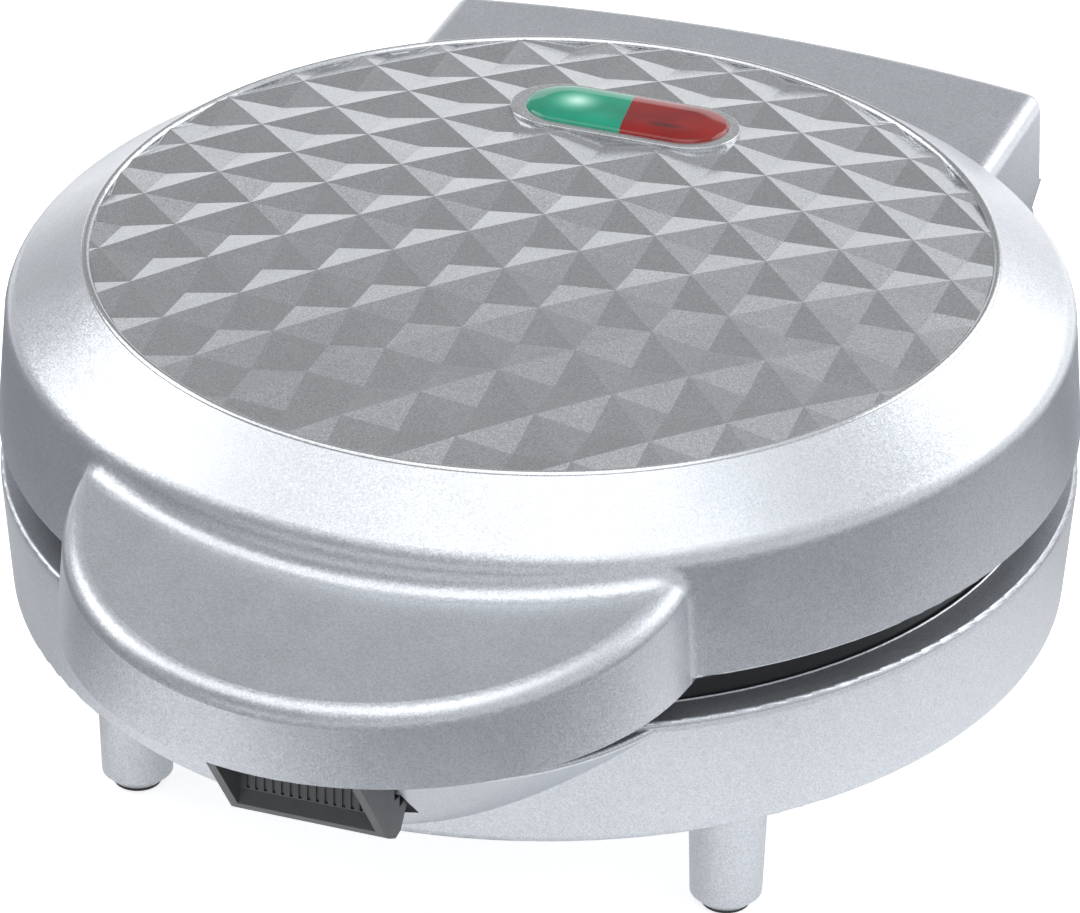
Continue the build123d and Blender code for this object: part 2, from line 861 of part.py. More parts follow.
lamps = {}
for name, side in (("green_lamp", -1), ("red_lamp", 1)):
    with BuildPart() as lamp:
        with BuildSketch(window_plane.offset(-frame_depth - tray_depth + 1.6)):
            with Locations((side * lens_half_length / 2, 0)):
                Circle(2.5)
        extrude(amount=4.5)
        fillet(lamp.faces().sort_by(Axis.Z)[-1].edges(), 2.4)
    lamps[name] = lamp

# Plate screws
with BuildPart() as lower_plate_screws:
    head_seat = base_bottom + 3.4
    with BuildSketch(level(head_seat - screw_head_height)):
        with Locations(*screw_points):
            Circle(screw_head_radius)
    extrude(amount=screw_head_height)
    with BuildSketch(level(head_seat)):
        with Locations(*screw_points):
            Circle(screw_radius)
    extrude(amount=reflector_top + 7 - head_seat)
    with BuildSketch(level(head_seat - screw_head_height)):
        with Locations(*screw_points):
            Rectangle(4.4, 0.9)
            Rectangle(0.9, 4.4)
    extrude(amount=1.4, mode=Mode.SUBTRACT)

with BuildPart() as upper_plate_screws:
    head_seat = seat_ring_top - screw_head_height - 0.8
    with BuildSketch(level(head_seat)):
        with Locations(*screw_points):
            Circle(screw_head_radius)
    extrude(amount=screw_head_height)
    with BuildSketch(level(head_seat)):
        with Locations(*screw_points):
            Circle(screw_radius)
    extrude(amount=2 * joint_height - reflector_top - 7 - head_seat)
    with BuildSketch(level(head_seat + screw_head_height)):
        with Locations(*screw_points):
            Rectangle(4.4, 0.9)
            Rectangle(0.9, 4.4)
    extrude(amount=-1.4, mode=Mode.SUBTRACT)

# Thermostat on the upper plate, and the thermal fuse clipped to the upper reflector
with BuildPart() as thermostat:
    with BuildSketch(level(pad_top)):
        Circle(8)
    extrude(amount=7)
    with BuildSketch(level(pad_top + 7)):
        Circle(6.5)
    extrude(amount=2)
    with BuildSketch(across(0)):
        with Locations((0, fuse_height)):
            Circle(terminal_radius)
    extrude(amount=10.5, both=True)

with BuildPart() as thermal_fuse:
    with BuildSketch(across(24)):
        with Locations((0, fuse_height)):
            Circle(2)
    extrude(amount=12)

with BuildPart() as thermal_fuse_clip:
    with BuildSketch(across(28)):
        with Locations((0, fuse_height)):
            Circle(2.6)
        with Locations((0, lid_floor + 0.3)):
            Rectangle(16, 0.6)
        with Locations((0, lid_floor - 5)):
            Rectangle(20, 10, mode=Mode.SUBTRACT)
        with Locations((0, fuse_height)):
            Circle(2, mode=Mode.SUBTRACT)
        with Locations((0, lid_floor)):
            Rectangle(0.6, 1.2, mode=Mode.SUBTRACT)
    extrude(amount=4)

# Cover plate under the handle, open round the latch
with BuildPart() as handle_cover:
    with BuildSketch(level(cover_top - 2)):
        with Locations((0, handle_centre_y)):
            Circle(handle_radius - wall - 0.45)
        Circle(lid_rim_radius + 0.25, mode=Mode.SUBTRACT)
        with Locations((0, -132)):
            Rectangle(2 * cover_gap, 40, mode=Mode.SUBTRACT)
        with Locations(*cover_posts):
            Circle(1.6, mode=Mode.SUBTRACT)
    extrude(amount=2)

with BuildPart() as handle_screws:
    with BuildSketch(level(cover_top - 3.4)):
        with Locations(*cover_posts):
            Circle(2.8)
            Rectangle(3.4, 0.8, mode=Mode.SUBTRACT)
            Rectangle(0.8, 3.4, mode=Mode.SUBTRACT)
    extrude(amount=1.4)
    with BuildSketch(level(cover_top - 2.4)):
        with Locations(*cover_posts):
            Circle(cover_screw_radius)
    extrude(amount=10)

# Hinge pins, pressed into the cheeks
pins = {}
for name, side in (("hinge_pin_left", -1), ("hinge_pin_right", 1)):
    with BuildPart() as hinge_pin:
        with BuildSketch(across(side * hinge_pin_inner)):
            with Locations(hinge_point):
                Circle(hinge_pin_radius)
        extrude(amount=side * (housing_half_width - hinge_pin_sunk - hinge_pin_inner))
        chamfer(hinge_pin.faces().sort_by(Axis.X)[0].edges(), 0.5)
        chamfer(hinge_pin.faces().sort_by(Axis.X)[-1].edges(), 0.5)
    pins[name] = hinge_pin

# LATCH
with BuildPart() as latch:
    # Side cheeks: pivot at the top, finger edge in front, nose at the back
    for side in (-1, 1):
        with BuildSketch(across(side * latch_half_width)):
            Polygon(
                (-134.0, 62.3),
                (-137.0, 61.0),
                (-135.5, 58.8),
                (-122.8, 41.2),
                (-121.6, 40.3),
                (-118.3, 38.4),
                (-115.7, 38.6),
                (-112.0, 43.2),
                (-113.6, 44.4),
                (-116.3, 43.8),
                (-116.3, 46.4),
                (-118.9, 46.9),
                (-118.9, 49.0),
                (-120.2, 51.0),
                (-120.2, 68.5),
                (-119.8, 71.0),
                (-127.5, 73.0),
                (-134.0, 65.0),
                align=None,
            )
            with Locations((latch_pin_y, latch_pin_z)):
                Circle(4.2)
                Circle(latch_pin_radius + latch_pin_clearance, mode=Mode.SUBTRACT)
        extrude(amount=-side * latch_cheek)
    # Finger face between the cheeks, which ends in the hook that reaches through the slot
    with BuildSketch(across(0)):
        Polygon(
            (latch_panel_y, 66.0),
            (latch_panel_y, 45.6),
            (-124.0, 42.9),
            (-122.8, 41.2),
            (-121.6, 40.3),
            (-118.3, 38.4),
            (-115.7, 38.6),
            (-112.0, 43.2),
            (-113.6, 44.4),
            (-116.3, 43.8),
            (-118.8, 43.2),
            (-120.5, 45.6),
            (-120.5, 66.0),
            align=None,
        )
    extrude(amount=latch_half_width - latch_cheek, both=True)
    # Upright grooves
    with BuildSketch(facing(latch_panel_y)):
        with Locations((0, 56.4)):
            with GridLocations(groove_pitch, 1, 15, 1):
                Rectangle(0.6, 21)
    extrude(amount=-groove_depth, mode=Mode.SUBTRACT)
    # Shelf that the spring presses on
    with BuildSketch(across(0)):
        Polygon(
            (-136.0, spring_bottom - 1.5),
            (-136.0, spring_bottom),
            (-127.0, spring_bottom),
            (-121.5, 66.0),
            (-121.5, 63.0),
            (-124.0, 63.0),
            (-124.4, 65.2),
            (-128.0, spring_bottom - 1.5),
            align=None,
        )
    extrude(amount=5, both=True)

with BuildPart() as latch_pin:
    with BuildSketch(across(0)):
        with Locations((latch_pin_y, latch_pin_z)):
            Circle(latch_pin_radius)
    extrude(amount=lug_inner + lug_thickness, both=True)

with BuildPart() as latch_spring:
    with BuildLine(level(spring_bottom + spring_wire / 2)) as turns:
        Helix(
            pitch=(spring_top - spring_bottom - spring_wire) / spring_turns,
            height=spring_top - spring_bottom - spring_wire,
            radius=spring_radius,
            center=(0, spring_y, 0),
        )
    with BuildSketch(Plane(origin=turns.line @ 0, x_dir=(1, 0, 0), z_dir=turns.line % 0)):
        Circle(spring_wire / 2)
    sweep(path=turns.line, is_frenet=True)

# WIRING
with BuildPart() as terminal_block:
    with BuildSketch(level(base_bottom + wall)):
        with Locations((block_x, block_y)):
            Rectangle(24, 10)
    extrude(amount=9)
    with BuildSketch(level(base_bottom + wall + 9)):
        with Locations((block_x, block_y)):
            with GridLocations(8, 1, 3, 1):
                Circle(2)
    extrude(amount=-3, mode=Mode.SUBTRACT)

with BuildPart() as terminal_screws:
    with BuildSketch(level(base_bottom + wall + 6)):
        with Locations((block_x, block_y)):
            with GridLocations(8, 1, 3, 1):
                Circle(2)
                Rectangle(0.6, 3, mode=Mode.SUBTRACT)
    extrude(amount=1.6)

with BuildPart() as base_leads:
    for side, start, bend_y in ((-1, block_x - 8, 90), (1, block_x, 93)):
        with BuildLine(level(0)) as run:
            FilletPolyline(
                (start, 103, 36),
                (start, 96, 36),
                (side * element_radius, bend_y, element_height),
                (side * element_radius, element_leg + terminal_length, element_height),
                radius=3,
            )
        with BuildSketch(Plane(origin=run.line @ 0, z_dir=run.line % 0)):
            Circle(lead_radius)
        sweep(path=run.wire())

with BuildPart() as lid_leads:
    upper_pin = 2 * joint_height - element_height
    for side, start, bend_x in ((-1, 10.5, 30), (1, 36, 43)):
        with BuildLine(level(0)) as run:
            FilletPolyline(
                (side * start, 0, fuse_height),
                (side * bend_x, 0, fuse_height),
                (side * 40, 70, 86),
                (side * element_radius, 86, 84),
                (side * element_radius, 87.5, upper_pin),
                (side * element_radius, element_leg + terminal_length, upper_pin),
                radius=2,
            )
        with BuildSketch(Plane(origin=run.line @ 0, z_dir=run.line % 0)):
            Circle(lead_radius)
        sweep(path=run.wire())
    with BuildSketch(across(10.5)):
        with Locations((0, fuse_height)):
            Circle(lead_radius)
    extrude(amount=13.5)

# Cord inlet bush and the clamp behind it
with BuildPart() as cord_inlet:
    with BuildSketch(level(base_bottom - 1.2)):
        with Locations((0, inlet_y)):
            Circle(inlet_flange_radius)
    extrude(amount=1.2)
    with BuildSketch(level(base_bottom)):
        with Locations((0, inlet_y)):
            Circle(inlet_barrel_radius)
    extrude(amount=6)
    with BuildSketch(level(base_bottom - 1.2)):
        with Locations((0, inlet_y)):
            Circle(inlet_bore_radius)
    extrude(amount=8, mode=Mode.SUBTRACT)

clamp_seat = base_bottom + wall + clamp_height

with BuildPart() as cord_clamp:
    with BuildSketch(level(clamp_seat)):
        with Locations((0, clamp_y)):
            SlotOverall(2 * clamp_reach + 6, 6)
        with Locations((-clamp_reach, clamp_y), (clamp_reach, clamp_y)):
            Circle(1.2, mode=Mode.SUBTRACT)
    extrude(amount=3)

with BuildPart() as cord_clamp_screws:
    with BuildSketch(level(clamp_seat + 3)):
        with Locations((-clamp_reach, clamp_y), (clamp_reach, clamp_y)):
            Circle(2.4)
    extrude(amount=1.4)
    with BuildSketch(level(clamp_seat + 3)):
        with Locations((-clamp_reach, clamp_y), (clamp_reach, clamp_y)):
            Circle(1.2)
    extrude(amount=-6.5)

os.makedirs("parts", exist_ok=True)
pieces = {
    "lid_shell": lid_shell,
    "top_panel": top_panel,
    "indicator_frame": indicator_frame,
    "green_lens": green_lens,
    "red_lens": red_lens,
    "lamp_holder": lamp_holder,
    **lamps,
    "upper_plate": upper_plate,
    "upper_element": upper_element,
    "upper_reflector": upper_reflector,
    "upper_plate_screws": upper_plate_screws,
    "thermostat": thermostat,
    "thermal_fuse": thermal_fuse,
    "thermal_fuse_clip": thermal_fuse_clip,
    "handle_cover": handle_cover,
    "handle_screws": handle_screws,
    **pins,
    "latch": latch,
    "latch_pin": latch_pin,
    "latch_spring": latch_spring,
    "lid_leads": lid_leads,
    "base_shell": base_shell,
    **pads,
    "lower_plate": lower_plate,
    "lower_element": lower_element,
    "lower_reflector": lower_reflector,
    "lower_plate_screws": lower_plate_screws,
    "terminal_block": terminal_block,
    "terminal_screws": terminal_screws,
    "cord_inlet": cord_inlet,
    "cord_clamp": cord_clamp,
    "cord_clamp_screws": cord_clamp_screws,
    "base_leads": base_leads,
}
for name, piece in pieces.items():
    piece.part.label = name
    export_step(piece.part, f"parts/{name}.step")
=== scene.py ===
"""The looks of a bubble waffle maker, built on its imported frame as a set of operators.

Sizes are in metres. +Z is up and the handle points to -Y. The finishes read object
coordinates, so every piece stays at the origin with its place in its mesh.
"""

import math

import bpy
import numpy as np
from mathutils import Matrix, Vector


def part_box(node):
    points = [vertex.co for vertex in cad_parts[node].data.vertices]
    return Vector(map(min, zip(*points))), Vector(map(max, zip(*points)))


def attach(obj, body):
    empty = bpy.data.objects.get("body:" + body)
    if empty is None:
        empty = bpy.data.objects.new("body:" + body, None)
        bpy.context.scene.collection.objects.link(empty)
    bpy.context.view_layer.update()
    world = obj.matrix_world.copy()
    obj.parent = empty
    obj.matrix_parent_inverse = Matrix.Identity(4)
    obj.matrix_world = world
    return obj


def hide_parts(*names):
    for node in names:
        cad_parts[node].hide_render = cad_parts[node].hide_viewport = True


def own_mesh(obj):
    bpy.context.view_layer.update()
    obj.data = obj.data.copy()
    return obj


bl_info = {
    "name": "Bubble waffle maker finishes",
    "version": (1, 0, 0),
    "blender": (4, 5, 0),
    "location": "View3D > Sidebar > Waffle maker",
    "description": "Dresses a bubble waffle maker's frame with its window, feet and finishes",
    "category": "Object",
}

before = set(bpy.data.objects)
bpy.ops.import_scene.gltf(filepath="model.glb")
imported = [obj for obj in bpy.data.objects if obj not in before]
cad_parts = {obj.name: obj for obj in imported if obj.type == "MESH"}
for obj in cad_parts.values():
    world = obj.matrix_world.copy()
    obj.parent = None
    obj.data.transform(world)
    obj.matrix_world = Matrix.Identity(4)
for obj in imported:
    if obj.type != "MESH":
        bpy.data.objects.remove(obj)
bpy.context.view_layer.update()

body_y = 0.0055
panel_edge = 0.0988

# The window plane touches the panel's dome a little behind its middle
window_low, window_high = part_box("indicator_frame")
dome_radius = 0.652734
dome_centre = Vector((0, body_y, 0.1048 - dome_radius))
window_reach = 0.048
window_up = Vector((0, window_reach, math.sqrt(dome_radius**2 - window_reach**2))).normalized()
window_back = window_up.cross(Vector((1, 0, 0)))
window_middle = dome_centre + window_up * dome_radius
lens_centre = (0.0004, 0.0004)


# Sizes and colours that a user may change

class WindowSizes(bpy.types.PropertyGroup):
    frame_length: bpy.props.FloatProperty(
        name="Frame length", description="Outer length of the window's frame",
        default=window_high[0] - window_low[0], min=0.03, max=0.08, unit="LENGTH")
    frame_width: bpy.props.FloatProperty(
        name="Frame width", description="Outer width of the window's frame",
        default=0.0212, min=0.015, max=0.04, unit="LENGTH")
    lens_length: bpy.props.FloatProperty(
        name="Lens length", description="Length of the two lenses together",
        default=0.0414, min=0.025, max=0.07, unit="LENGTH")
    lens_width: bpy.props.FloatProperty(
        name="Lens width", description="Width of the lenses",
        default=0.0178, min=0.01, max=0.035, unit="LENGTH")
    frame_rise: bpy.props.FloatProperty(
        name="Frame rise", description="Height of the frame over the panel",
        default=0.0004, min=0.0002, max=0.002, unit="LENGTH")
    lens_crown: bpy.props.FloatProperty(
        name="Lens crown", description="Height of the lenses' crown over the panel",
        default=0.0015, min=0.0003, max=0.002, unit="LENGTH")
    depth: bpy.props.FloatProperty(
        name="Depth", description="Depth of the frame and the lenses under the panel",
        default=0.003, min=0.002, max=0.004, unit="LENGTH")


class BeadSizes(bpy.types.PropertyGroup):
    radius: bpy.props.FloatProperty(
        name="Radius", description="Radius of the bead's crest round the panel",
        default=0.0875, min=0.08, max=0.09, unit="LENGTH")
    width: bpy.props.FloatProperty(
        name="Width", description="Width of the bead",
        default=0.00174, min=0.001, max=0.003, unit="LENGTH")
    rise: bpy.props.FloatProperty(
        name="Rise", description="Height of the bead's crest over the panel's edge",
        default=0.00053, min=0.0002, max=0.001, unit="LENGTH")


class FootSizes(bpy.types.PropertyGroup):
    radius: bpy.props.FloatProperty(
        name="Radius", description="Radius of a foot pad",
        default=0.0047, min=0.003, max=0.006, unit="LENGTH")
    height: bpy.props.FloatProperty(
        name="Height", description="Height of a foot pad",
        default=0.0024, min=0.001, max=0.004, unit="LENGTH")
    groove: bpy.props.FloatProperty(
        name="Groove", description="Depth of the ring grooves in a pad's sole",
        default=0.0003, min=0.0001, max=0.0008, unit="LENGTH")


class SpringSizes(bpy.types.PropertyGroup):
    radius: bpy.props.FloatProperty(
        name="Coil radius", description="Radius of the latch spring's coil, to the wire's middle",
        default=0.00265, min=0.002, max=0.003, unit="LENGTH")
    wire: bpy.props.FloatProperty(
        name="Wire", description="Diameter of the latch spring's wire",
        default=0.0007, min=0.0003, max=0.0008, unit="LENGTH")
    turns: bpy.props.FloatProperty(
        name="Turns", description="Number of turns in the latch spring",
        default=6.5, min=4, max=8, subtype="UNSIGNED")


class FinishColours(bpy.types.PropertyGroup):
    silver: bpy.props.FloatVectorProperty(
        name="Silver paint", description="Colour of the painted shells",
        subtype="COLOR", size=3, min=0, max=1, default=(0.58, 0.605, 0.64))
    panel: bpy.props.FloatVectorProperty(
        name="Panel silver", description="Colour of the pitted top panel",
        subtype="COLOR", size=3, min=0, max=1, default=(0.58, 0.595, 0.61))
    charcoal: bpy.props.FloatVectorProperty(
        name="Charcoal plastic", description="Colour of the latch",
        subtype="COLOR", size=3, min=0, max=1, default=(0.065, 0.068, 0.072))
    black: bpy.props.FloatVectorProperty(
        name="Black plastic", description="Colour of the covers and blocks that show least",
        subtype="COLOR", size=3, min=0, max=1, default=(0.018, 0.018, 0.019))
    green: bpy.props.FloatVectorProperty(
        name="Green lens", description="Colour of the ready lens",
        subtype="COLOR", size=3, min=0, max=1, default=(0.01, 0.33, 0.20))
    red: bpy.props.FloatVectorProperty(
        name="Red lens", description="Colour of the heating lens",
        subtype="COLOR", size=3, min=0, max=1, default=(0.33, 0.006, 0.003))
    coating: bpy.props.FloatVectorProperty(
        name="Plate coating", description="Colour of the plates' non-stick coating",
        subtype="COLOR", size=3, min=0, max=1, default=(0.022, 0.022, 0.024))
    rubber: bpy.props.FloatVectorProperty(
        name="Foot rubber", description="Colour of the foot pads",
        subtype="COLOR", size=3, min=0, max=1, default=(0.016, 0.016, 0.017))


class PaintSizes(bpy.types.PropertyGroup):
    fleck: bpy.props.FloatProperty(
        name="Fleck", description="Size of the paint's metal flecks",
        default=0.00021, min=0.00005, max=0.001, precision=5, unit="LENGTH")
    tilt: bpy.props.FloatProperty(
        name="Fleck tilt", description="How far the flecks lean from the surface",
        default=0.10, min=0, max=0.5, subtype="FACTOR")
    roughness: bpy.props.FloatProperty(
        name="Roughness", description="Roughness of the paint under its lacquer",
        default=0.34, min=0.05, max=1, subtype="FACTOR")


# Meshes

def four_sided(here):
    """Four-sided faces over a grid of point numbers, one for each cell of the grid."""
    corners = [here[:-1, :-1], here[:-1, 1:], here[1:, 1:], here[1:, :-1]]
    return np.stack(corners, axis=-1).reshape(-1, 4)


def ring_mesh(name, points):
    """A mesh over a grid of points that closes on itself both ways, as a ring does."""
    rows, columns = points.shape[:2]
    here = np.arange(rows * columns).reshape(rows, columns)
    here = np.vstack([here, here[:1]])
    here = np.hstack([here, here[:, :1]])
    mesh = bpy.data.meshes.new(name)
    mesh.from_pydata(points.reshape(-1, 3), [], four_sided(here))
    return mesh


def capped_mesh(name, points):
    """A closed mesh from rings of points: its first and last ring shrink to a pole each.

    The rings are joined by four-sided faces, and each end ring is joined to the mean of
    its own points by a fan of triangles.
    """
    rings, count = points.shape[:2]
    here = np.arange(rings * count).reshape(rings, count)
    here = np.hstack([here, here[:, :1]])
    low, high = rings * count, rings * count + 1
    floor = np.stack([here[0, 1:], here[0, :-1], np.full(count, low)], axis=-1)
    crown = np.stack([here[-1, :-1], here[-1, 1:], np.full(count, high)], axis=-1)
    poles = np.stack([points[0].mean(axis=0), points[-1].mean(axis=0)])
    mesh = bpy.data.meshes.new(name)
    faces = four_sided(here).tolist() + floor.tolist() + crown.tolist()
    mesh.from_pydata(np.vstack([points.reshape(-1, 3), poles]), [], faces)
    return mesh


def show(name, mesh, body, finish, replaced=()):
    """Links a finished piece to the scene, and ties it to its body and its finish."""
    mesh.validate()
    mesh.shade_smooth()
    piece = bpy.data.objects.new(name, mesh)
    bpy.context.scene.collection.objects.link(piece)
    mesh.materials.append(finish)
    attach(piece, body)
    if replaced:
        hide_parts(*replaced)
    return piece


def on_window(across, back, height):
    """Points over the window plane, from arrays of its two directions and the height."""
    axes = np.array([(1, 0, 0), window_back, window_up])
    local = np.stack(np.broadcast_arrays(across, back, height), axis=-1)
    return np.array(window_middle) + local @ axes


def stadium(count, length, width, centre=(0, 0)):
    """A stadium's outline, count points for each half turn, as its two coordinates.

    The direction turns evenly through a full circle. The point lies half the width away
    from one end of the straight, and then from the other.
    """
    angle = np.linspace(-math.pi / 2, math.pi / 2, count)
    angle = np.concatenate([angle, angle + math.pi])
    half_straight = np.where(np.arange(2 * count) < count, 1, -1) * (length - width) / 2
    across = centre[0] + half_straight + width / 2 * np.cos(angle)
    return across, centre[1] + width / 2 * np.sin(angle)


# Materials

def node(tree, kind, values=None, **settings):
    """One shader node, with its settings and the values of its inputs."""
    made = tree.nodes.new("ShaderNode" + kind)
    for name, value in settings.items():
        setattr(made, name, value)
    for key, value in (values or {}).items():
        join(tree, made.inputs[key], value)
    return made


def join(tree, socket, value):
    """Links a value to a socket if it is a socket itself, or else sets it there."""
    if isinstance(value, bpy.types.NodeSocket):
        tree.links.new(value, socket)
    else:
        socket.default_value = value


def start(name):
    """An empty node material: its tree, its shader and its object coordinates."""
    material = bpy.data.materials.new(name)
    material.use_nodes = True
    tree = material.node_tree
    shader = tree.nodes["Principled BSDF"]
    place = node(tree, "TexCoord").outputs["Object"]
    return material, tree, shader, place


def noise(tree, place, size, detail=2.0, roughness=0.5):
    """Cloudy noise whose patches are about this size."""
    made = node(tree, "TexNoise", {
        "Vector": place, "Scale": 1 / size, "Detail": detail, "Roughness": roughness})
    return made.outputs["Fac"]


def cells(tree, place, size, output="Color"):
    """Random cells of about this size."""
    return node(tree, "TexVoronoi", {"Vector": place, "Scale": 1 / size}).outputs[output]


def spread(tree, value, low, high, from_low=0.0, from_high=1.0):
    """Carries a value from one range to another, and holds it there."""
    made = node(tree, "MapRange", {
        "Value": value, "From Min": from_low, "From Max": from_high,
        "To Min": low, "To Max": high})
    return made.outputs["Result"]


def sum_of(tree, first, second, operation="ADD"):
    """Two values added, or put together by another operation."""
    made = node(tree, "Math", operation=operation)
    join(tree, made.inputs[0], first)
    join(tree, made.inputs[1], second)
    return made.outputs["Value"]


def tint(tree, factor, first, second):
    """A colour between two colours."""
    made = node(tree, "Mix", data_type="RGBA")
    join(tree, made.inputs[0], factor)
    join(tree, made.inputs[6], first)
    join(tree, made.inputs[7], second)
    return made.outputs[2]


def shade(colour, factor):
    """A colour made lighter or darker."""
    return tuple(min(1.0, part * factor) for part in colour) + (1.0,)


def relief(tree, height, depth, strength=1.0, normal=None):
    """A bumpy normal: height runs from 0 to 1, and depth is what 1 stands for."""
    values = {"Height": height, "Distance": depth, "Strength": strength}
    if normal is not None:
        values["Normal"] = normal
    return node(tree, "Bump", values).outputs["Normal"]


def leaning_flecks(tree, place, size, tilt):
    """A normal that leans its own way in each small cell, as metal flecks do in paint."""
    random = cells(tree, place, size)
    centred = node(tree, "VectorMath", operation="SUBTRACT")
    join(tree, centred.inputs[0], random)
    centred.inputs[1].default_value = (0.5, 0.5, 0.5)
    scaled = node(tree, "VectorMath", operation="SCALE")
    join(tree, scaled.inputs[0], centred.outputs["Vector"])
    scaled.inputs["Scale"].default_value = tilt
    surface = node(tree, "NewGeometry").outputs["Normal"]
    added = node(tree, "VectorMath", operation="ADD")
    join(tree, added.inputs[0], surface)
    join(tree, added.inputs[1], scaled.outputs["Vector"])
    unit = node(tree, "VectorMath", operation="NORMALIZE")
    join(tree, unit.inputs[0], added.outputs["Vector"])
    return unit.outputs["Vector"], random


def metal_paint(name, colour, size, tilt, roughness, metallic, coat):
    """Silver paint: flecks that lean and differ in brightness, faint clouds and scuffs."""
    material, tree, shader, place = start(name)
    lean, random = leaning_flecks(tree, place, size, tilt)
    bright = node(tree, "SeparateColor", {"Color": random}).outputs["Red"]
    cloud = noise(tree, place, 0.03, 3)
    flecks = spread(tree, bright, 0.0, 0.75)
    shift = sum_of(tree, flecks, sum_of(tree, cloud, 0.25, "MULTIPLY"))
    colour_out = tint(tree, shift, shade(colour, 0.80), shade(colour, 1.22))
    join(tree, shader.inputs["Base Color"], colour_out)
    shader.inputs["Metallic"].default_value = metallic
    handled = spread(tree, noise(tree, place, 0.012, 6, 0.65), -0.03, 0.05, 0.3, 0.7)
    join(tree, shader.inputs["Roughness"], sum_of(tree, handled, roughness))
    shader.inputs["Coat Weight"].default_value = coat
    shader.inputs["Coat Roughness"].default_value = 0.12
    join(tree, shader.inputs["Normal"], lean)
    return material


def moulded_plastic(name, colour, roughness, grain_size=0.0006, grain_depth=0.00003):
    """Plastic with a fine mould grain, and cloudy patches of tone and gloss, as where it is
    touched.
    """
    material, tree, shader, place = start(name)
    cloud = noise(tree, place, 0.008, 5, 0.6)
    join(tree, shader.inputs["Base Color"], tint(
        tree, spread(tree, cloud, 0, 1, 0.3, 0.7), shade(colour, 0.85), shade(colour, 1.2)))
    join(tree, shader.inputs["Roughness"], spread(
        tree, cloud, roughness - 0.07, roughness + 0.07, 0.3, 0.7))
    grain = cells(tree, place, grain_size, "Distance")
    join(tree, shader.inputs["Normal"], relief(tree, grain, grain_depth, 0.6))
    return material


def coated_aluminium(name, colour):
    """Non-stick coating: dark, with a fine speckle and a soft orange-peel surface."""
    material, tree, shader, place = start(name)
    speckle = spread(tree, cells(tree, place, 0.0005, "Distance"), 1, 0, 0.05, 0.3)
    fine = spread(tree, noise(tree, place, 0.0007, 2), 0, 1, 0.55, 0.75)
    spots = sum_of(tree, speckle, fine, "MULTIPLY")
    join(tree, shader.inputs["Base Color"], tint(
        tree, spots, shade(colour, 1.0), shade(colour, 3.2)))
    shader.inputs["Metallic"].default_value = 0.15
    worn = noise(tree, place, 0.02, 6, 0.7)
    join(tree, shader.inputs["Roughness"], spread(tree, worn, 0.30, 0.46, 0.3, 0.7))
    peel = noise(tree, place, 0.0012, 2)
    join(tree, shader.inputs["Normal"], relief(tree, peel, 0.00004, 0.6))
    return material


def bare_metal(name, colour, roughness, grain, streak=(1, 1, 1), heat=None):
    """Bare metal with drawn or turned streaks, and heat colours where it glows in use."""
    material, tree, shader, place = start(name)
    stretched = node(tree, "Mapping", {"Vector": place, "Scale": streak}).outputs["Vector"]
    lines = noise(tree, stretched, grain, 4, 0.6)
    cloud = noise(tree, place, 0.02, 4, 0.6)
    base = tint(tree, lines, shade(colour, 0.82), shade(colour, 1.15))
    if heat:
        base = tint(tree, spread(tree, cloud, 0, 0.6, 0.35, 0.7), base, shade(heat, 1))
    join(tree, shader.inputs["Base Color"], base)
    shader.inputs["Metallic"].default_value = 1.0
    join(tree, shader.inputs["Roughness"], spread(
        tree, sum_of(tree, lines, cloud), roughness - 0.08, roughness + 0.1, 0.7, 1.3))
    join(tree, shader.inputs["Normal"], relief(tree, lines, 0.00002, 0.5))
    return material


def spangled_sheet(name, colour):
    """Aluminised sheet: a frosty spangle of large crystals under fine rolling lines."""
    material, tree, shader, place = start(name)
    crystal = cells(tree, place, 0.006)
    bright = node(tree, "SeparateColor", {"Color": crystal}).outputs["Green"]
    join(tree, shader.inputs["Base Color"], tint(
        tree, bright, shade(colour, 0.85), shade(colour, 1.1)))
    shader.inputs["Metallic"].default_value = 1.0
    join(tree, shader.inputs["Roughness"], spread(tree, bright, 0.28, 0.45))
    rolled = node(tree, "Mapping", {"Vector": place, "Scale": (1, 0.02, 1)}).outputs["Vector"]
    join(tree, shader.inputs["Normal"], relief(
        tree, noise(tree, rolled, 0.0004, 3), 0.00002, 0.4))
    return material


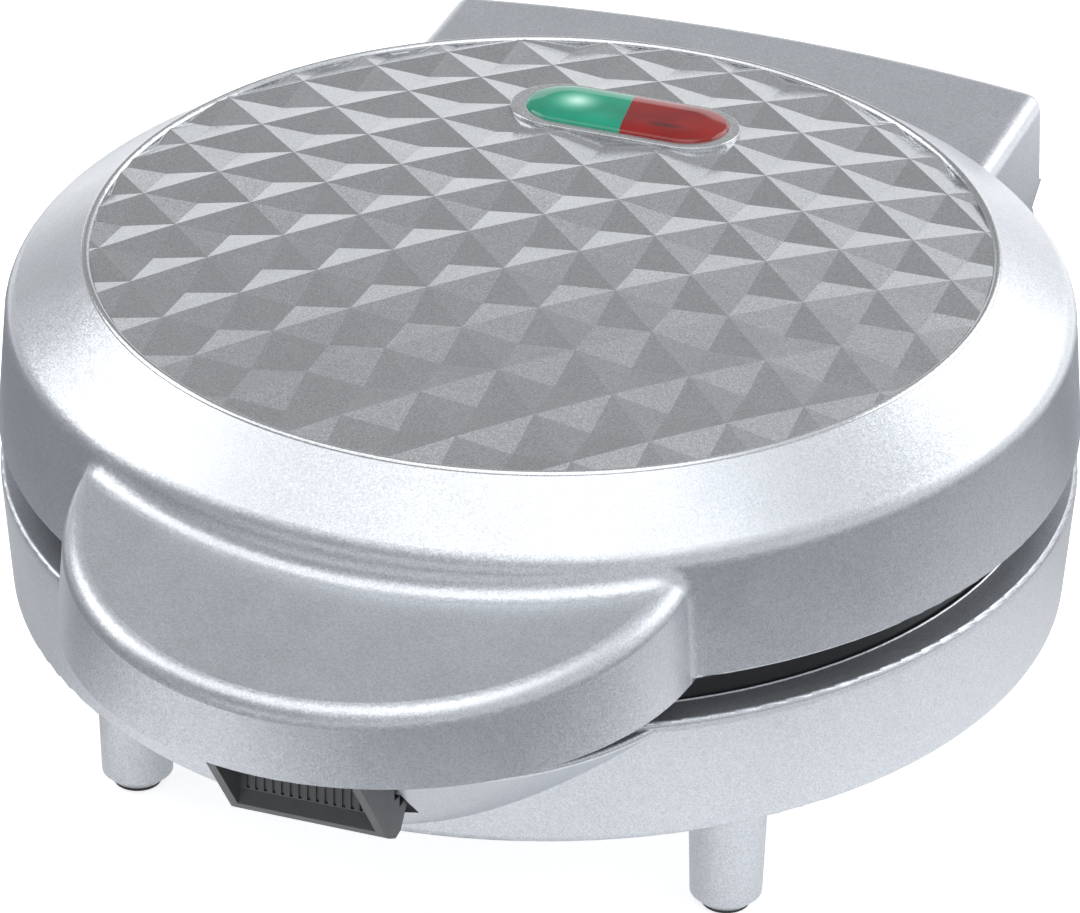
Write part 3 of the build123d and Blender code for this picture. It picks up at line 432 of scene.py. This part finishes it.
def tinted_lens(name, colour, lamp=None, shadow=None):
    """A glossy tinted lens: softly cloudy, lit by its lamp or with a painted shadow, a dark bar,
    inside.
    """
    material, tree, shader, place = start(name)
    inside = spread(tree, noise(tree, place, 0.007, 2, 0.4), 0, 1, 0.3, 0.7)
    body = tint(tree, inside, shade(colour, 1), shade(colour, 0.72))
    if shadow:
        # Painted shadow: a long soft dark blot inside the lens, which leans a little
        bar = node(tree, "Mapping", {
            "Vector": place, "Location": tuple(on_window(*shadow, 0)), "Rotation": (0, 0, 0.1),
            "Scale": (0.0045, 0.0012, 0.01)}, vector_type="TEXTURE").outputs["Vector"]
        length = node(tree, "VectorMath", {0: bar}, operation="LENGTH").outputs["Value"]
        body = tint(tree, spread(tree, length, 0.75, 0, 0.3, 1.1), body, shade(colour, 0.2))
    join(tree, shader.inputs["Base Color"], body)
    join(tree, shader.inputs["Roughness"], spread(
        tree, noise(tree, place, 0.004, 4), 0.04, 0.09, 0.3, 0.7))
    shader.inputs["Transmission Weight"].default_value = 0.2
    shader.inputs["Specular IOR Level"].default_value = 0.0
    shader.inputs["Coat Weight"].default_value = 1.0
    shader.inputs["Coat IOR"].default_value = 1.5
    shader.inputs["Coat Roughness"].default_value = 0.04
    if lamp:
        # A soft spot over the lamp, brightest in its middle, on a faint glow all over
        middle = tuple(on_window(*lamp, 0))
        away = node(tree, "VectorMath", {0: place, 1: middle}, operation="DISTANCE")
        spot = spread(tree, away.outputs["Value"], 1, 0, 0.0008, 0.0068)
        soft = sum_of(tree, spot, 1.7, "POWER")
        join(tree, shader.inputs["Emission Color"], tint(
            tree, soft, shade(colour, 1), (0.86, 1.0, 0.97, 1)))
        join(tree, shader.inputs["Emission Strength"], sum_of(
            tree, sum_of(tree, soft, 0.95, "MULTIPLY"), 0.10))
    join(tree, shader.inputs["Normal"], relief(
        tree, noise(tree, place, 0.003, 2), 0.00002, 0.3))
    return material


def lamp_glass(name, colour):
    """A frosted lamp dome."""
    material, tree, shader, place = start(name)
    haze = noise(tree, place, 0.0015, 3)
    join(tree, shader.inputs["Base Color"], tint(
        tree, haze, shade(colour, 0.9), shade(colour, 1.1)))
    join(tree, shader.inputs["Roughness"], spread(tree, haze, 0.15, 0.35))
    shader.inputs["Transmission Weight"].default_value = 0.6
    join(tree, shader.inputs["Normal"], relief(tree, haze, 0.00002, 0.3))
    return material


def braided_sleeve(name, colour):
    """Glass-braid sleeving: two crossing sets of fine threads."""
    material, tree, shader, place = start(name)
    heights = []
    for slant in (0.6, -0.6):
        turned = node(tree, "Mapping", {"Vector": place, "Rotation": (slant, slant, slant)})
        bands = node(tree, "TexWave", {
            "Vector": turned.outputs["Vector"], "Scale": 260.0, "Distortion": 1.0,
            "Detail": 1.0}, wave_type="BANDS", bands_direction="DIAGONAL")
        heights.append(bands.outputs["Fac"])
    weave = sum_of(tree, heights[0], heights[1], "MAXIMUM")
    join(tree, shader.inputs["Base Color"], tint(
        tree, weave, shade(colour, 0.6), shade(colour, 1.1)))
    join(tree, shader.inputs["Roughness"], spread(tree, weave, 0.85, 0.6))
    join(tree, shader.inputs["Normal"], relief(tree, weave, 0.0001, 0.8))
    return material


def rubber(name, colour):
    """Moulded rubber: dull and dusty, with a fine pebble."""
    material, tree, shader, place = start(name)
    dust = noise(tree, place, 0.002, 5, 0.7)
    join(tree, shader.inputs["Base Color"], tint(
        tree, spread(tree, dust, 0, 1, 0.4, 0.75), shade(colour, 1), shade(colour, 4)))
    join(tree, shader.inputs["Roughness"], spread(tree, dust, 0.6, 0.85))
    join(tree, shader.inputs["Normal"], relief(
        tree, cells(tree, place, 0.0004, "Distance"), 0.00004, 0.6))
    return material


def finish_nodes(names, finish):
    """Gives CAD nodes their finish, in every material slot that they have."""
    for name in names:
        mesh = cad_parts[name].data
        mesh.materials.clear()
        mesh.materials.append(finish)


# Operators, one for each piece or group of like pieces

class WAFFLE_OT_shells(bpy.types.Operator):
    """Paints the lid and the base: silver paint with fine metal flecks under lacquer"""
    bl_idname = "waffle.shells"
    bl_label = "Painted shells"

    def execute(self, context):
        colours, paint = context.scene.waffle_colours, context.scene.waffle_paint
        finish = metal_paint(
            "silver_paint", colours.silver, paint.fleck, paint.tilt, paint.roughness, 0.8, 0.25)
        finish_nodes(["lid_shell", "base_shell"], finish)
        return {"FINISHED"}


class WAFFLE_OT_panel(bpy.types.Operator):
    """Finishes the pitted top panel: a brighter, smoother silver than the shells"""
    bl_idname = "waffle.panel"
    bl_label = "Top panel"

    def execute(self, context):
        colours, paint = context.scene.waffle_colours, context.scene.waffle_paint
        # The panel's flecks lie flatter than the shells', and its paint is glossier
        finish = metal_paint(
            "panel_silver", colours.panel, paint.fleck, paint.tilt * 0.6,
            paint.roughness - 0.17, 0.85, 0.2)
        finish_nodes(["top_panel"], finish)
        show("panel_bead", self.bead(context.scene.waffle_bead), "lid", finish)
        return {"FINISHED"}

    @staticmethod
    def bead(sizes):
        """The bead at the panel's edge: a low parabola of a section, turned about the axis.

        The section lies over the panel's own bead and dips a little under it at its foot.
        """
        side = np.linspace(-1, 1, 15)
        radius = sizes.radius + sizes.width / 2 * np.concatenate([side, [1, -1]])
        crest = panel_edge + sizes.rise * (1 - side**2)
        height = np.concatenate([crest, [panel_edge - 0.0004, panel_edge - 0.0004]])
        angle = np.linspace(0, 2 * math.pi, 361)[:-1, None]
        points = np.stack(np.broadcast_arrays(
            radius * np.sin(angle), body_y + radius * np.cos(angle), height), axis=-1)
        return ring_mesh("panel_bead", points)


class WAFFLE_OT_window(bpy.types.Operator):
    """Builds the indicator window: a rim round a green and a red lens, and the lamps' tray"""
    bl_idname = "waffle.window"
    bl_label = "Indicator window"

    def execute(self, context):
        sizes, colours = context.scene.waffle_window, context.scene.waffle_colours
        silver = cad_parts["top_panel"].data.materials[0]
        show("window_frame", self.rim(sizes), "lid", silver, ["indicator_frame"])
        green = tinted_lens("green_lens_plastic", colours.green, lamp=(-0.0102, 0.0008))
        # The red lens gets a painted shadow: a dark bar inside it
        red = tinted_lens("red_lens_plastic", colours.red, shadow=(0.0095, -0.0035))
        show("green_lens_cap", self.lens(sizes, -1), "lid", green, ["green_lens"])
        show("red_lens_cap", self.lens(sizes, 1), "lid", red, ["red_lens"])
        black = moulded_plastic("tray_black", colours.black, 0.45)
        finish_nodes(["lamp_holder"], black)
        finish_nodes(["green_lamp"], lamp_glass("green_lamp_glass", (0.3, 0.8, 0.5)))
        finish_nodes(["red_lamp"], lamp_glass("red_lamp_glass", (0.8, 0.25, 0.2)))
        return {"FINISHED"}

    @staticmethod
    def rim(sizes):
        """The frame: a flat ring between two stadiums, the lenses' hole and the outer edge.

        A point of the section is a share w of the way from the hole to the outer edge, at a
        height. The top is level, with a small quarter circle at each corner.
        """
        top, bottom = sizes.frame_rise, -sizes.depth
        turn = np.linspace(0, math.pi / 2, 6)
        share = np.concatenate([
            [0, 1], 0.9 + 0.1 * np.cos(turn), [0.85, 0.5, 0.15], 0.1 - 0.1 * np.sin(turn)])
        height = np.concatenate([
            [bottom, bottom], top - 0.0002 + 0.0002 * np.sin(turn), [top, top, top],
            top - 0.0001 + 0.0001 * np.cos(turn)])
        outer = stadium(49, sizes.frame_length, sizes.frame_width)
        hole = stadium(49, sizes.lens_length, sizes.lens_width, lens_centre)
        across, back = (
            inside[:, None] + (outside - inside)[:, None] * share
            for inside, outside in zip(hole, outer))
        return ring_mesh("window_frame", on_window(across, back, height))

    @staticmethod
    def lens(sizes, side):
        """One lens: rings from its foot up the wall and in over the crown to its middle.

        The outline is half a stadium, cut by a slanted line. A crown point keeps a share of
        its distance from the lens's middle. With d its distance from the stadium's spine
        over the half width, the crown is level to d = 0.5, falls with the square of what is
        over, and rounds down steeply from d = 0.93. A narrow hollow runs along the line
        where the two lenses meet.
        """
        hole = sizes.lens_width / 2 - 0.00003
        straight = (sizes.lens_length - sizes.lens_width) / 2
        arc = np.linspace(-math.pi / 2, math.pi / 2, 57)
        cut_back = np.linspace(1, -1, 29)[1:-1] * hole
        outline_x = np.concatenate([
            np.linspace(0.0, straight, 21)[:-1], straight + hole * np.cos(arc),
            np.linspace(straight, 0.0, 21)[1:], np.zeros(27)])
        outline_y = np.concatenate([
            np.full(20, -hole), hole * np.sin(arc), np.full(20, hole), cut_back])
        # The meeting line leans, so each side of the outline starts where the line is
        lean = np.clip(1 - outline_x / straight, 0, 1)
        line_x = -0.0005 * side - 0.14 * outline_y
        outline_x = outline_x + line_x * side * lean + 0.00004
        middle = straight * 0.6
        share = np.concatenate([np.linspace(1, 0.9, 14), np.linspace(0.9, 0.06, 22)[1:]])[:, None]
        x = middle + (outline_x - middle) * share
        y = outline_y * share
        reach = np.hypot(np.maximum(x - straight, 0), y) / hole
        fall = 0.0027 * np.maximum(reach - 0.5, 0) ** 2
        edge = 0.0004 * (np.clip(reach - 0.93, 0, 0.07) / 0.07) ** 2
        gap = np.exp(-((x - side * line_x) / 0.00022) ** 2) * 0.00012
        height = sizes.lens_crown - fall - edge - gap
        foot_x, foot_y = outline_x[None], outline_y[None]
        x = np.vstack([foot_x, x])
        y = np.vstack([foot_y, y])
        height = np.vstack([np.full_like(foot_x, -sizes.depth), height])
        if side < 0:
            x, y, height = -x[:, ::-1], y[:, ::-1], height[:, ::-1]
        return capped_mesh("lens", on_window(lens_centre[0] + x, lens_centre[1] + y, height))


class WAFFLE_OT_latch(bpy.types.Operator):
    """Finishes the latch and its pin, and builds the spring that the latch presses together"""
    bl_idname = "waffle.latch"
    bl_label = "Latch"

    def execute(self, context):
        colours = context.scene.waffle_colours
        finish_nodes(["latch"], moulded_plastic("charcoal_plastic", colours.charcoal, 0.42))
        steel = bare_metal("drawn_steel", (0.62, 0.61, 0.60), 0.28, 0.0005, (0.05, 1, 1))
        finish_nodes(["latch_pin"], steel)
        low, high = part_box("latch_spring")
        middle = ((low[0] + high[0]) / 2, (low[1] + high[1]) / 2)
        mesh = self.coil(context.scene.waffle_spring, middle, low[2], high[2])
        spring = show("spring_coil", mesh, "lid", steel, ["latch_spring"])
        # The released latch lifts its shelf by up to 2.8 mm under the spring
        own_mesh(spring)
        return {"FINISHED"}

    @staticmethod
    def coil(sizes, middle, low, high):
        """The spring: a round wire that winds up a helix, with close turns at both ends.

        The wire climbs a little over its own diameter in its first and in its last turn,
        and evenly between them. Its section is a circle in the upright plane through the
        coil's axis.
        """
        turn = np.linspace(0, sizes.turns, int(30 * sizes.turns))[:, None]
        close = 1.05 * sizes.wire
        climb = high - low - sizes.wire
        height = low + sizes.wire / 2 + np.interp(
            turn, [0, 1, sizes.turns - 1, sizes.turns], [0, close, climb - close, climb])
        section = np.linspace(0, -2 * math.pi, 11)[:-1]
        reach = sizes.radius + sizes.wire / 2 * np.cos(section)
        points = np.stack(np.broadcast_arrays(
            middle[0] + reach * np.cos(2 * math.pi * turn),
            middle[1] + reach * np.sin(2 * math.pi * turn),
            height + sizes.wire / 2 * np.sin(section)), axis=-1)
        return capped_mesh("spring_coil", points)


class WAFFLE_OT_plates(bpy.types.Operator):
    """Finishes the cooking plates, their heating elements and their reflectors"""
    bl_idname = "waffle.plates"
    bl_label = "Cooking plates"

    def execute(self, context):
        colours = context.scene.waffle_colours
        finish_nodes(["lower_plate", "upper_plate"], coated_aluminium(
            "plate_coating", colours.coating))
        finish_nodes(["lower_element", "upper_element"], bare_metal(
            "element_steel", (0.36, 0.34, 0.32), 0.42, 0.0008, (1, 1, 1), (0.16, 0.10, 0.07)))
        finish_nodes(["lower_reflector", "upper_reflector"], spangled_sheet(
            "reflector_sheet", (0.74, 0.74, 0.73)))
        return {"FINISHED"}


class WAFFLE_OT_handle_cover(bpy.types.Operator):
    """Finishes the cover plate under the handle"""
    bl_idname = "waffle.handle_cover"
    bl_label = "Handle cover"

    def execute(self, context):
        colours = context.scene.waffle_colours
        finish_nodes(["handle_cover"], moulded_plastic(
            "cover_plastic", shade(colours.charcoal, 0.8)[:3], 0.5, 0.0008, 0.00004))
        return {"FINISHED"}


class WAFFLE_OT_fasteners(bpy.types.Operator):
    """Finishes the screws, the hinge pins and the clip"""
    bl_idname = "waffle.fasteners"
    bl_label = "Fasteners"

    def execute(self, context):
        finish_nodes(
            ["lower_plate_screws", "upper_plate_screws", "handle_screws", "cord_clamp_screws",
             "hinge_pin_left", "hinge_pin_right", "thermal_fuse_clip"],
            bare_metal("zinc_steel", (0.66, 0.66, 0.64), 0.30, 0.0004, (1, 0.2, 1)))
        finish_nodes(["terminal_screws"], bare_metal(
            "brass", (0.72, 0.50, 0.22), 0.30, 0.0004, (1, 0.2, 1)))
        return {"FINISHED"}


class WAFFLE_OT_wiring(bpy.types.Operator):
    """Finishes the thermostat, the fuse, the terminal block, the leads and the cord's inlet"""
    bl_idname = "waffle.wiring"
    bl_label = "Wiring"

    def execute(self, context):
        colours = context.scene.waffle_colours
        finish_nodes(["thermostat"], moulded_plastic("phenolic", (0.10, 0.055, 0.03), 0.4))
        finish_nodes(["thermal_fuse"], bare_metal(
            "tinned_case", (0.75, 0.74, 0.70), 0.25, 0.0004, (0.1, 1, 1)))
        finish_nodes(["terminal_block"], moulded_plastic("block_plastic", (0.62, 0.60, 0.55), 0.5))
        finish_nodes(["base_leads", "lid_leads"], braided_sleeve("lead_sleeve", (0.62, 0.60, 0.55)))
        finish_nodes(["cord_inlet", "cord_clamp"], moulded_plastic(
            "inlet_plastic", colours.black, 0.45))
        return {"FINISHED"}


class WAFFLE_OT_feet(bpy.types.Operator):
    """Builds the four rubber foot pads: turned discs with ring grooves in the sole"""
    bl_idname = "waffle.feet"
    bl_label = "Foot pads"

    def execute(self, context):
        sizes, colours = context.scene.waffle_feet, context.scene.waffle_colours
        finish = rubber("foot_rubber", colours.rubber)
        for number in range(1, 5):
            low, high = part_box(f"foot_pad_{number}")
            middle = ((low[0] + high[0]) / 2, (low[1] + high[1]) / 2)
            show(f"rubber_foot_{number}", self.pad(sizes, middle), "base",
                 finish, [f"foot_pad_{number}"])
        return {"FINISHED"}

    @staticmethod
    def pad(sizes, middle):
        """A pad: a profile turned about an upright axis.

        From the sole's middle outwards the profile's height is a raised cosine with three
        grooves. It then climbs the wall round a small quarter circle to the flat top.
        """
        sole_r = np.linspace(0.0004, sizes.radius - 0.0006, 26)
        wave = 0.5 - 0.5 * np.cos(2 * math.pi * 3 * sole_r / (sizes.radius - 0.0006))
        sole_h = sizes.groove * wave**2
        turn = np.linspace(-math.pi / 2, 0, 7)
        edge_r = sizes.radius - 0.0005 + 0.0005 * np.cos(turn)
        edge_h = 0.0005 + 0.0005 * np.sin(turn)
        radius = np.concatenate([sole_r, edge_r, [sizes.radius, sizes.radius - 0.0003, 0.0004]])
        top_h = [sizes.height - 0.0003, sizes.height, sizes.height]
        height = np.concatenate([sole_h, edge_h, top_h])
        angle = np.linspace(0, 2 * math.pi, 49)[:-1]
        points = np.stack([
            middle[0] + radius[:, None] * np.cos(angle),
            middle[1] + radius[:, None] * np.sin(angle),
            np.broadcast_to(height[:, None], (len(radius), len(angle))),
        ], axis=-1)
        return capped_mesh("rubber_foot", points)


class WAFFLE_OT_stage(bpy.types.Operator):
    """Sets up the pale floor, the soft lights, the backdrop and the camera"""
    bl_idname = "waffle.stage"
    bl_label = "Stage"

    def execute(self, context):
        self.floor()
        self.lamps()
        self.world()
        self.camera(context.scene)
        context.scene.view_settings.view_transform = "Standard"
        return {"FINISHED"}

    @staticmethod
    def floor():
        """A wide paper floor, pale round the object and behind it, and greyer elsewhere.

        The camera sees it lifted to white, and so do reflections close to the object. It
        keeps the object's shadow.
        """
        mesh = bpy.data.meshes.new("floor")
        side = 4.0
        mesh.from_pydata(
            [(-side, -side, 0), (side, -side, 0), (side, side, 0), (-side, side, 0)],
            [], [(0, 1, 2, 3)])
        ground = bpy.data.objects.new("floor", mesh)
        bpy.context.scene.collection.objects.link(ground)
        material, tree, shader, place = start("floor_paper")
        # Pale on an ellipse in front and behind the object, and partly right under it
        patch = node(tree, "Mapping", {
            "Vector": place, "Location": (0, -0.12, 0), "Rotation": (0, 0, 0.75),
            "Scale": (1, 0.45, 1)}, vector_type="TEXTURE").outputs["Vector"]
        away = node(tree, "VectorMath", {0: patch}, operation="LENGTH")
        beside = spread(tree, away.outputs["Value"], 1, 0, 0.17, 0.36)
        depth = node(tree, "SeparateXYZ", {0: place}).outputs["Y"]
        behind = spread(tree, depth, 0, 1, 0.20, 0.36)
        reach = node(tree, "VectorMath", {0: place}, operation="LENGTH").outputs["Value"]
        under = spread(tree, reach, 0.4, 0, 0.15, 0.19)
        near = sum_of(tree, sum_of(tree, beside, behind, "MAXIMUM"), under, "MAXIMUM")
        surround = (0.20, 0.21, 0.23, 1)
        speck = noise(tree, place, 0.002, 4)
        paper = tint(tree, speck, (0.80, 0.80, 0.81, 1), (0.84, 0.84, 0.85, 1))
        rays = node(tree, "LightPath").outputs
        seen = sum_of(tree, rays["Is Camera Ray"], near, "MAXIMUM")
        join(tree, shader.inputs["Base Color"], tint(tree, seen, surround, paper))
        shader.inputs["Roughness"].default_value = 0.8
        shader.inputs["Specular IOR Level"].default_value = 0.1
        shader.inputs["Emission Color"].default_value = (1, 1, 1, 1)
        mirrored = sum_of(tree, rays["Is Glossy Ray"], near, "MULTIPLY")
        mirrored = sum_of(tree, mirrored, 0.45, "MULTIPLY")
        lifted = sum_of(tree, rays["Is Camera Ray"], 0.70, "MULTIPLY")
        join(tree, shader.inputs["Emission Strength"], sum_of(tree, mirrored, lifted))
        mesh.materials.append(material)

    @staticmethod
    def lamps():
        """Three soft boxes: overhead, at the left, and behind on the right."""
        aim = Vector((0, 0, 0.06))
        for name, place, size, power in (
            ("overhead", (-0.08, -0.34, 1.4), (2.0, 1.1), 7.9),
            ("left", (-1.25, 0.05, 0.93), (0.95, 0.85), 6.0),
            ("right", (0.894, 0.993, 0.741), (1.34, 0.86), 6.5),
        ):
            data = bpy.data.lights.new(name, "AREA")
            data.shape = "RECTANGLE"
            data.size, data.size_y = size
            data.energy = power
            lamp = bpy.data.objects.new(name, data)
            lamp.location = place
            lamp.rotation_euler = (aim - Vector(place)).to_track_quat("-Z", "Y").to_euler()
            bpy.context.scene.collection.objects.link(lamp)

    @staticmethod
    def world():
        """White to the camera. It lights from a white horizon, a grey sky and a paler zenith.

        The sky is brighter towards +X, and the horizon is dark towards -X.
        """
        world = bpy.data.worlds.new("studio")
        bpy.context.scene.world = world
        world.use_nodes = True
        tree = world.node_tree
        light = tree.nodes["Background"]
        where = node(tree, "SeparateXYZ", {0: node(tree, "TexCoord").outputs["Generated"]}).outputs
        ramp = node(tree, "ValToRGB", {"Fac": where["Z"]})
        points = ((0.0, 0.32), (0.55, 0.33), (0.7, 0.35), (0.87, 0.44), (1.0, 0.8))
        while len(ramp.color_ramp.elements) < len(points):
            ramp.color_ramp.elements.new(0.5)
        for element, (position, level) in zip(ramp.color_ramp.elements, points):
            element.position = position
            element.color = (level, level, level, 1)
        sky = sum_of(
            tree, ramp.outputs["Color"], spread(tree, where["X"], 1, 2.2, -0.25, 0.45), "MULTIPLY")
        horizon = spread(tree, where["X"], 0.4, 0.98, -0.75, -0.58)
        low = spread(tree, where["Z"], 1, 0, 0.27, 0.315)
        level = node(tree, "Mix", {0: low, 2: sky, 3: horizon}, data_type="FLOAT").outputs[0]
        light.inputs["Color"].default_value = (0.99, 1.0, 1.02, 1)
        join(tree, light.inputs["Strength"], level)
        white = node(tree, "Background", {"Color": (1, 1, 1, 1), "Strength": 1.0})
        rays = node(tree, "LightPath")
        pick = node(tree, "MixShader")
        tree.links.new(rays.outputs["Is Camera Ray"], pick.inputs[0])
        tree.links.new(light.outputs[0], pick.inputs[1])
        tree.links.new(white.outputs[0], pick.inputs[2])
        tree.links.new(pick.outputs[0], tree.nodes["World Output"].inputs["Surface"])

    @staticmethod
    def camera(scene):
        """A long lens, above and to the right of the handle, level to within a degree."""
        azimuth, elevation, roll = (math.radians(a) for a in (19.615, 30.037, 0.643))
        back = Vector((
            math.sin(azimuth) * math.cos(elevation), -math.cos(azimuth) * math.cos(elevation),
            math.sin(elevation)))
        right = Vector((math.cos(azimuth), math.sin(azimuth), 0))
        up = back.cross(right)
        turned_right = right * math.cos(roll) + up * math.sin(roll)
        turned_up = up * math.cos(roll) - right * math.sin(roll)
        data = bpy.data.cameras.new("camera")
        data.sensor_width = 36.0
        data.lens = 245.13
        data.clip_start, data.clip_end = 0.05, 50
        camera = bpy.data.objects.new("camera", data)
        camera.matrix_world = Matrix((turned_right, turned_up, back)).transposed().to_4x4()
        camera.location = (0.417139, -1.164573, 0.770043)
        scene.collection.objects.link(camera)
        scene.camera = camera


class WAFFLE_PT_panel(bpy.types.Panel):
    """The sizes, the colours and the steps, in the 3D view's sidebar"""
    bl_idname = "WAFFLE_PT_panel"
    bl_label = "Bubble waffle maker"
    bl_space_type = "VIEW_3D"
    bl_region_type = "UI"
    bl_category = "Waffle maker"

    def draw(self, context):
        layout = self.layout
        scene = context.scene
        for title, group in (
            ("Window", scene.waffle_window), ("Bead", scene.waffle_bead),
            ("Feet", scene.waffle_feet), ("Spring", scene.waffle_spring),
            ("Paint", scene.waffle_paint), ("Colours", scene.waffle_colours),
        ):
            box = layout.box()
            box.label(text=title)
            for name in group.__annotations__:
                box.prop(group, name)
        steps = layout.column(align=True)
        for operator in operators:
            steps.operator(operator.bl_idname)


groups = {
    "waffle_window": WindowSizes,
    "waffle_bead": BeadSizes,
    "waffle_feet": FootSizes,
    "waffle_spring": SpringSizes,
    "waffle_paint": PaintSizes,
    "waffle_colours": FinishColours,
}
operators = (
    WAFFLE_OT_shells,
    WAFFLE_OT_panel,
    WAFFLE_OT_window,
    WAFFLE_OT_latch,
    WAFFLE_OT_plates,
    WAFFLE_OT_handle_cover,
    WAFFLE_OT_fasteners,
    WAFFLE_OT_wiring,
    WAFFLE_OT_feet,
    WAFFLE_OT_stage,
)


def register():
    for kind in (*groups.values(), *operators, WAFFLE_PT_panel):
        bpy.utils.register_class(kind)
    for name, kind in groups.items():
        setattr(bpy.types.Scene, name, bpy.props.PointerProperty(type=kind))


def unregister():
    for name in groups:
        delattr(bpy.types.Scene, name)
    for kind in (WAFFLE_PT_panel, *reversed(operators), *reversed(groups.values())):
        bpy.utils.unregister_class(kind)


def main():
    register()
    for operator in operators:
        family, step = operator.bl_idname.split(".")
        getattr(getattr(bpy.ops, family), step)()


if __name__ == "__main__":
    main()
